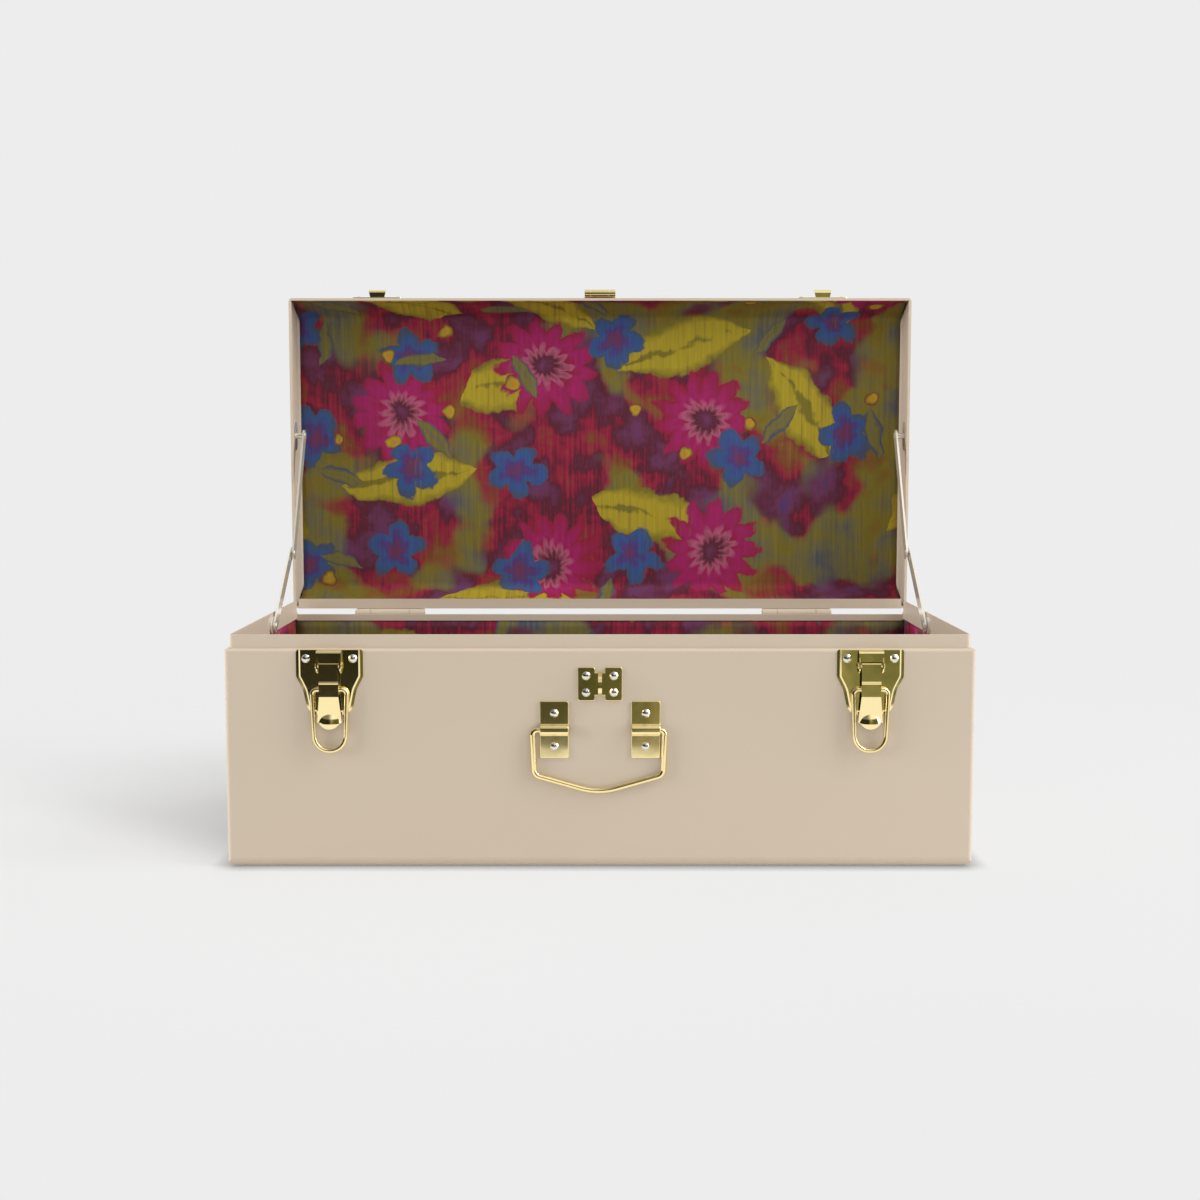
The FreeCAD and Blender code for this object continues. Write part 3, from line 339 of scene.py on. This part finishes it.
def leaf(tree, way, turn, half_length, half_width):
    """Distance out of a pointed leaf: |b| over half_width(1 - (a/half_length)^2), a along it and b across."""
    inputs = {"Vector": way, "Angle": tree.sums("MULTIPLY", turn, TURN)}
    turned = tree.add("ShaderNodeVectorRotate", inputs, rotation_type="Z_AXIS").outputs[0]
    a, b, _ = tree.split(turned)
    along = tree.sums("DIVIDE", a, half_length)
    room = tree.sums("MAXIMUM", tree.sums("SUBTRACT", 1.0, tree.sums("MULTIPLY", along, along)), 0.001)
    return tree.sums("DIVIDE", tree.sums("ABSOLUTE", b), tree.sums("MULTIPLY", room, half_width))


def brushed(tree, sheet, across, along, detail):
    """Noise drawn out along the sheet, as many to the metre across it and along it."""
    u, v, _ = tree.split(sheet)
    drawn = tree.combine(tree.sums("MULTIPLY", u, across), tree.sums("MULTIPLY", v, along))
    return tree.noise(drawn, 1.0, detail)[0]


def print_group():
    """Brushed flower print along a sheet in metres: a wash, leaves, dahlias, small blossoms and berries."""
    group, tree, _ = new_group("flower_print", [], [("Colour", "Color"), ("Height", "Float")])
    sheet = tree.add("ShaderNodeTexCoord").outputs["UV"]
    sway = tree.vector("SUBTRACT", tree.noise(sheet, 26.0, 3.0, 0.6)[1], (0.5, 0.5, 0.5))
    place = tree.vector("ADD", sheet, tree.vector("MULTIPLY", sway, (0.022, 0.022, 0.0)))
    brush = brushed(tree, sheet, across=420.0, along=16.0, detail=3.0)
    tone = tree.noise(place, 24.0, 4.0, 0.52)[0]
    edge = tree.sums("MULTIPLY", tree.sums("SUBTRACT", tree.noise(sheet, 150.0, 2.0)[0], 0.5), 0.30)
    mottle = tree.sums("MULTIPLY_ADD", tree.sums("SUBTRACT", brush, 0.5), 0.22, tone)
    warm = tree.ramp(mottle, seen([
        (0.22, VIOLET), (0.36, PLUM), (0.47, MAROON), (0.55, CRIMSON), (0.64, RUST), (0.78, OCHRE)]))
    green = tree.ramp(mottle, seen([(0.25, SLATE), (0.45, SAGE), (0.6, OLIVE), (0.8, RUST)]))
    colour = tree.mix(tree.span(tree.noise(place, 11.0, 2.0)[0], 0.50, 0.57), warm, green)

    def laid(below, share, kept, thin, paints):
        """One kind of motif over what is below it, thinned where the brush ran dry."""
        rim = tree.sums("ADD", share, edge)
        mask = tree.sums("MULTIPLY", tree.span(rim, 0.9, 1.02, 1.0, 0.0), kept)
        dry = tree.span(brush, 0.28, 0.45, thin, 1.0)
        depth = tree.sums("MULTIPLY_ADD", tree.sums("SUBTRACT", mottle, 0.5), 0.9, rim)
        return tree.mix(tree.sums("MULTIPLY", mask, dry), below, tree.ramp(depth, seen(paints)))

    # Broad leaves
    way, turn, kept = scattered(tree, place, cell=0.112, jitter=0.62, shift=(0.313, 0.127, 0.0), filled=0.8)
    share = leaf(tree, way, turn, half_length=0.058, half_width=0.023)
    colour = laid(colour, share, kept, 0.65, [(0.0, OLIVE), (0.12, MUSTARD), (0.6, MUSTARD), (0.95, OLIVE)])
    # Dahlias, with a ring of inner petals
    way, turn, kept = scattered(tree, place, cell=0.135, jitter=0.42, shift=(0.071, 0.533, 0.0), filled=0.78)
    share = bloom(tree, way, turn, radius=0.045, count=13, notch=0.30)
    petals = [(0.08, MAROON), (0.3, CRIMSON), (0.62, MAGENTA), (0.95, CRIMSON)]
    colour = laid(colour, share, kept, 0.8, petals)
    share = bloom(tree, way, tree.sums("ADD", turn, 0.04), radius=0.023, count=13, notch=0.34)
    colour = laid(colour, share, kept, 0.8, [(0.1, PLUM), (0.4, MAROON), (0.75, ROSE), (1.0, MAGENTA)])
    # Small blossoms
    way, turn, kept = scattered(tree, place, cell=0.092, jitter=0.5, shift=(0.817, 0.259, 0.0), filled=0.55)
    share = bloom(tree, way, turn, radius=0.026, count=5, notch=0.42)
    colour = laid(colour, share, kept, 0.7, [(0.1, PLUM), (0.35, VIOLET), (0.65, BLUE), (0.95, SLATE)])
    # Narrow leaves
    way, turn, kept = scattered(tree, place, cell=0.074, jitter=0.7, shift=(0.455, 0.911, 0.0), filled=0.42)
    share = leaf(tree, way, turn, half_length=0.021, half_width=0.007)
    colour = laid(colour, share, kept, 0.7, [(0.0, SAGE), (0.4, OLIVE), (0.9, SLATE)])
    # Berries
    way, turn, kept = scattered(tree, place, cell=0.05, jitter=0.8, shift=(0.129, 0.377, 0.0), filled=0.2)
    share = bloom(tree, way, turn, radius=0.0065, count=3, notch=0.15)
    colour = laid(colour, share, kept, 0.9, [(0.1, AMBER), (0.6, MUSTARD), (0.95, RUST)])

    streak = tree.span(brush, 0.25, 0.75, 0.86, 1.16, "LINEAR")
    colour = tree.mix(1.0, colour, tree.combine(streak, streak, streak), "MULTIPLY")
    slub = brushed(tree, sheet, across=2600.0, along=240.0, detail=2.0)
    tree.add("NodeGroupOutput", {"Colour": colour, "Height": slub})
    return group


def lining_material(group):
    """Matte printed paper with the print's slubs as a faint relief."""
    material, tree, shader = new_material("printed_lining")
    print_node = tree.add("ShaderNodeGroup", node_tree=group)
    tree.tree.links.new(print_node.outputs["Colour"], shader.inputs["Base Color"])
    relief = {"Strength": 0.5, "Distance": 0.00008, "Height": print_node.outputs["Height"]}
    tree.tree.links.new(tree.add("ShaderNodeBump", relief).outputs[0], shader.inputs["Normal"])
    shader.inputs["Roughness"].default_value = 0.72
    shader.inputs["Specular IOR Level"].default_value = 0.28
    return material


def lining_sheet(name, points, spread, thickness, material, node, body):
    """Sheet over a grid of points, given its thickness evenly on both sides, in place of a printed node."""
    rows, columns = points.shape[:2]
    index = np.arange(rows * columns).reshape(rows, columns)
    faces = np.stack([index[:-1, :-1], index[:-1, 1:], index[1:, 1:], index[1:, :-1]], -1).reshape(-1, 4)
    mesh = bpy.data.meshes.new(name)
    mesh.from_pydata(points.reshape(-1, 3).tolist(), [], faces.tolist())
    mesh.uv_layers.new(name="print").data.foreach_set("uv", spread.reshape(-1, 2)[faces.ravel()].ravel())
    mesh.polygons.foreach_set("use_smooth", np.ones(len(faces), bool))
    mesh.materials.append(material)
    sheet = bpy.data.objects.new(name, mesh)
    bpy.context.scene.collection.objects.link(sheet)
    solidify = sheet.modifiers.new("thickness", "SOLIDIFY")
    solidify.thickness = thickness
    solidify.offset = 0.0
    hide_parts(node)
    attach(sheet, body)


def lid_sheet(material):
    """Printed sheet of the lid: straight runs carried along X, their bends softened by a moving average."""
    low, high = (np.array(corner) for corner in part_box("lid_liner"))
    half = LID_SHEET / 2
    near, far = low[1], high[1] - half
    foot, head = low[2] + half, high[2] - half
    path = np.array([
        (near, head),
        (near + LID_WALL_RUN, head),
        (far, head - LID_SLOPE),
        (far, foot + LID_SLOPE),
        (near + LID_WALL_RUN, foot),
        (near, foot),
    ])
    steps = np.hypot(*np.diff(path, axis=0).T)
    along = np.concatenate([[0.0], np.cumsum(steps)])
    even = np.linspace(0.0, along[-1], LID_ROWS)
    pitch = even[1]
    reach = int(round(LID_BEND / pitch / 2))
    wide = np.arange(-reach, len(even) + reach) * pitch
    runs = []
    for column in path.T:
        inside = np.interp(wide, along, column)
        ends = np.where(wide < 0, wide, 0) + np.where(wide > along[-1], wide - along[-1], 0)
        slope = np.where(wide < 0, (column[1] - column[0]) / steps[0], (column[-1] - column[-2]) / steps[-1])
        runs.append(np.convolve(inside + ends * slope, np.ones(2 * reach + 1) / (2 * reach + 1), "valid"))
    y, z = runs
    x = np.linspace(low[0], high[0], LID_COLUMNS)
    across = (x - low[0]) / (high[0] - low[0])
    down = even / even[-1]
    window = np.sin(np.pi * across)[None, :] * np.sin(np.pi * down)[:, None] ** 2
    swell = np.sin(9.0 * across + 1.0)[None, :] * np.sin(7.0 * down)[:, None]
    points = np.empty((len(even), len(x), 3))
    points[..., 0] = x
    points[..., 1] = y[:, None] - LID_RIPPLE * window * (0.6 + 0.4 * swell)
    points[..., 2] = z[:, None]
    spread = np.stack(np.broadcast_arrays(x[None, :], -even[:, None]), -1)
    lining_sheet("lid_print", points, spread, LID_SHEET, material, "lid_liner", "lid")


def base_board(material, side, out_axis, inward, shift):
    """Printed board of the base: a flat grid in its middle plane, bowed inwards by a half sine both ways."""
    node = "base_" + side + "_liner"
    low, high = (np.array(corner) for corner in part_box(node))
    a_axis, b_axis = (axis for axis in (0, 1, 2) if axis != out_axis)
    a = np.linspace(low[a_axis], high[a_axis], BOARD_COLUMNS)
    b = np.linspace(low[b_axis], high[b_axis], BOARD_ROWS)
    a_wave = np.sin(np.pi * np.linspace(0, 1, BOARD_COLUMNS))
    b_wave = np.sin(np.pi * np.linspace(0, 1, BOARD_ROWS))
    bow = a_wave[None, :] * b_wave[:, None]
    points = np.empty((BOARD_ROWS, BOARD_COLUMNS, 3))
    points[..., a_axis] = a[None, :]
    points[..., b_axis] = b[:, None]
    points[..., out_axis] = (low[out_axis] + high[out_axis]) / 2 + inward * BOARD_BOW * bow
    spread = np.stack(np.broadcast_arrays(a[None, :] + shift, b[:, None] + shift), -1)
    thickness = float(high[out_axis] - low[out_axis])
    lining_sheet(side + "_print", points, spread, thickness, material, node, "base")


def stage_floor():
    """Pale sheet under the trunk: it shows the trunk's shadow, partly cast by the lamps and partly painted
    into its glow, and fades into the background further out.

    Metal mirrors it as white as far as its front edge, which is nearer in the middle, before the handle.
    """
    corners = np.array([
        (-FLOOR_HALF, FLOOR_FRONT, 0),
        (-FLOOR_NOTCH - FLOOR_STEP, FLOOR_FRONT, 0),
        (-FLOOR_NOTCH, FLOOR_FRONT + FLOOR_STEP, 0),
        (FLOOR_NOTCH, FLOOR_FRONT + FLOOR_STEP, 0),
        (FLOOR_NOTCH + FLOOR_STEP, FLOOR_FRONT, 0),
        (FLOOR_HALF, FLOOR_FRONT, 0),
        (FLOOR_HALF, FLOOR_BACK, 0),
        (-FLOOR_HALF, FLOOR_BACK, 0),
    ])
    mesh = bpy.data.meshes.new("floor")
    mesh.from_pydata(corners.tolist(), [], [tuple(range(len(corners)))])
    floor = bpy.data.objects.new("floor", mesh)
    bpy.context.scene.collection.objects.link(floor)
    material = bpy.data.materials.new("pale_floor")
    material.use_nodes = True
    tree = Tree(material.node_tree)
    lit = tree.add("ShaderNodeBsdfDiffuse", {"Color": grey(FLOOR_LIT)}).outputs[0]
    white = tree.add("ShaderNodeEmission").outputs[0]
    clear = tree.add("ShaderNodeBsdfTransparent").outputs[0]
    x, y, _ = tree.split(tree.add("ShaderNodeTexCoord").outputs["Object"])
    left, right = FLOOR_ACROSS
    slant = tree.sums("MULTIPLY_ADD", x, 0.9, y)
    # Painted shadow: the glow is darkened left of the trunk, behind a slanted front edge
    lee = tree.sums("MULTIPLY", tree.span(x, *LEE_EDGE, PAINTED_LEE_DEPTH, 0.0), tree.span(slant, *LEE_SLANT))
    level = tree.span(x, left, right, *FLOOR_LEVEL)
    # Painted shade from ambient occlusion: broad in the trunk's lee, thin along its foot
    for distance, depth in ((LEE_REACH, lee), (FOOT_REACH, PAINTED_FOOT_DEPTH)):
        open_sky = tree.add("ShaderNodeAmbientOcclusion", {"Distance": distance}, samples=2).outputs["AO"]
        level = tree.sums("MULTIPLY_ADD", tree.sums("SUBTRACT", open_sky, 1.0), depth, level)
    level = tree.sums("MAXIMUM", level, SHADE_DARKEST)
    # Glow with its painted shade, mixed below with the lamp-lit floor
    pale = tree.add("ShaderNodeEmission", {"Color": tree.combine(level, level, level)}).outputs[0]
    share = tree.span(x, left, right, *LAMP_SHARE)
    behind = tree.sums("MAXIMUM", tree.sums("MULTIPLY", y, -1.0), tree.sums("MULTIPLY", y, 0.5))
    reach = tree.length(tree.combine(tree.sums("MULTIPLY", x, 0.55), behind))
    near = tree.span(reach, *FLOOR_FADE, 1.0, 0.0)
    shown = tree.add("ShaderNodeMixShader", {0: share, 1: pale, 2: lit}).outputs[0]
    faded = tree.add("ShaderNodeMixShader", {0: near, 1: clear, 2: shown}).outputs[0]
    path = tree.add("ShaderNodeLightPath").outputs
    unseen = tree.add("ShaderNodeMixShader", {0: path["Is Glossy Ray"], 1: lit, 2: white}).outputs[0]
    surface = tree.add("ShaderNodeMixShader", {0: path["Is Camera Ray"], 1: unseen, 2: faded}).outputs[0]
    tree.add("ShaderNodeOutputMaterial", {"Surface": surface})
    mesh.materials.append(material)
    return floor


def studio_world():
    """Pale where the camera looks, even light, and for metal a dark room with a ceiling bright to the right.

    The room lies in front of the trunk only: behind it, metal mirrors the pale background.
    """
    world = bpy.data.worlds.new("studio")
    bpy.context.scene.world = world
    world.use_nodes = True
    tree = Tree(world.node_tree)
    way = tree.add("ShaderNodeTexCoord").outputs["Generated"]
    x, y, z = tree.split(way)
    patches = tree.noise(tree.vector("MULTIPLY", way, (1.0, 1.0, 0.45)), ROOM_PATCH_SCALE, 2.0)[0]
    dim = tree.ramp(patches, [
        (0.36, (0.010, 0.013, 0.005, 1)),
        (0.48, (0.050, 0.060, 0.022, 1)),
        (0.57, (0.125, 0.106, 0.058, 1)),
        (0.68, (0.240, 0.220, 0.150, 1)),
    ])
    rightward = tree.ramp(tree.span(x, -0.2, 0.6, kind="LINEAR"), [
        (0.06, grey(0.06)),
        (0.25, (0.34, 0.32, 0.28, 1)),
        (0.43, (1.0, 0.98, 0.94, 1)),
        (0.60, grey(0.5)),
        (0.95, grey(0.25)),
    ])
    room = tree.vector("MULTIPLY", tree.vector("MULTIPLY", dim, rightward), grey(ROOM_GLOW)[:3])
    glare = tree.span(x, *GLARE_ACROSS, *GLARE)
    room = tree.mix(tree.span(z, *CEILING), room, tree.combine(glare, glare, glare))
    path = tree.add("ShaderNodeLightPath").outputs
    pale = grey(BACKGROUND)
    mirrored = tree.mix(tree.span(y, *ROOM_END), room, pale)
    shown = tree.add("ShaderNodeBackground", {"Color": pale, "Strength": 1.0}).outputs[0]
    unseen = tree.mix(path["Is Glossy Ray"], grey(AMBIENT), mirrored)
    lighting = tree.add("ShaderNodeBackground", {"Color": unseen, "Strength": 1.0}).outputs[0]
    surface = tree.add("ShaderNodeMixShader", {0: path["Is Camera Ray"], 1: lighting, 2: shown}).outputs[0]
    tree.add("ShaderNodeOutputWorld", {"Surface": surface})


def softbox(name, place, size, power, mirrored=True):
    """Square area lamp that points from its place to the lamps' aim."""
    lamp = bpy.data.lights.new(name, "AREA")
    lamp.size = size
    lamp.energy = power
    holder = bpy.data.objects.new(name, lamp)
    way = np.subtract(LAMP_AIM, place)
    holder.location = place
    holder.rotation_euler = (
        math.pi / 2 + math.atan2(way[2], math.hypot(way[0], way[1])),
        0.0,
        math.atan2(-way[0], way[1]),
    )
    holder.visible_glossy = mirrored
    bpy.context.scene.collection.objects.link(holder)
    return holder


def keep_off(lamp, floor):
    """Keeps a lamp's light off the floor, as a flag does in a studio."""
    spared = bpy.data.collections.new(lamp.name + "_spares")
    spared.objects.link(floor)
    spared.collection_objects[0].light_linking.link_state = "EXCLUDE"
    lamp.light_linking.receiver_collection = spared


def camera():
    """Camera with the photograph's view."""
    data = bpy.data.cameras.new("camera")
    data.lens = CAMERA_LENS
    data.sensor_fit = "HORIZONTAL"
    data.sensor_width = CAMERA_SENSOR
    data.clip_start = 0.01
    holder = bpy.data.objects.new("camera", data)
    holder.location = CAMERA_AT
    holder.rotation_euler = (CAMERA_TILT, 0.0, 0.0)
    bpy.context.scene.collection.objects.link(holder)
    bpy.context.scene.camera = holder


def dress(material, slot):
    """Gives a material to every solid of one slot of the record."""
    for row in frame["record"]["subparts"]:
        if row["material_slot"] == slot:
            nodes[row["node"]].data.materials.clear()
            nodes[row["node"]].data.materials.append(material)


surface = surface_group()
dress(paint_material(surface), "body_paint")
brass = metal_material("polished_brass", BRASS, surface, gloss=0.10, gloss_spread=0.05, broad_scale=70.0,
                       broad_depth=0.00006, grain_scale=1500.0, grain_depth=0.000002)
dress(brass, "brass_plate")
nickel = metal_material("bright_nickel", NICKEL, surface, gloss=0.12, gloss_spread=0.05, broad_scale=160.0,
                        broad_depth=0.00002, grain_scale=1500.0, grain_depth=0.000002)
dress(nickel, "rivet_steel")
steel = metal_material("stay_steel", STAY_STEEL, surface, bare=0.55, gloss=0.18, gloss_spread=0.08,
                       broad_scale=90.0, broad_depth=0.00003, grain_scale=1500.0, grain_depth=0.000003)
dress(steel, "stay_steel")

lining = lining_material(print_group())
lid_sheet(lining)
base_board(lining, "floor", 2, 1, 0.0)
base_board(lining, "front", 1, 1, 0.9)
base_board(lining, "back", 1, -1, 1.7)
base_board(lining, "left", 0, 1, 2.6)
base_board(lining, "right", 0, -1, 3.4)

floor = stage_floor()
studio_world()
softbox("key", KEY_AT, KEY_SIZE, KEY_WATTS)
right_at = (SIDE_REACH, SIDE_FRONT, SIDE_HEIGHT)
keep_off(softbox("right_lamp", right_at, SIDE_SIZE, RIGHT_WATTS), floor)
left_at = (-SIDE_REACH, SIDE_FRONT, SIDE_HEIGHT)
keep_off(softbox("left_lamp", left_at, SIDE_SIZE, LEFT_WATTS, mirrored=False), floor)
camera()

scene = bpy.context.scene
scene.view_settings.view_transform = "Standard"
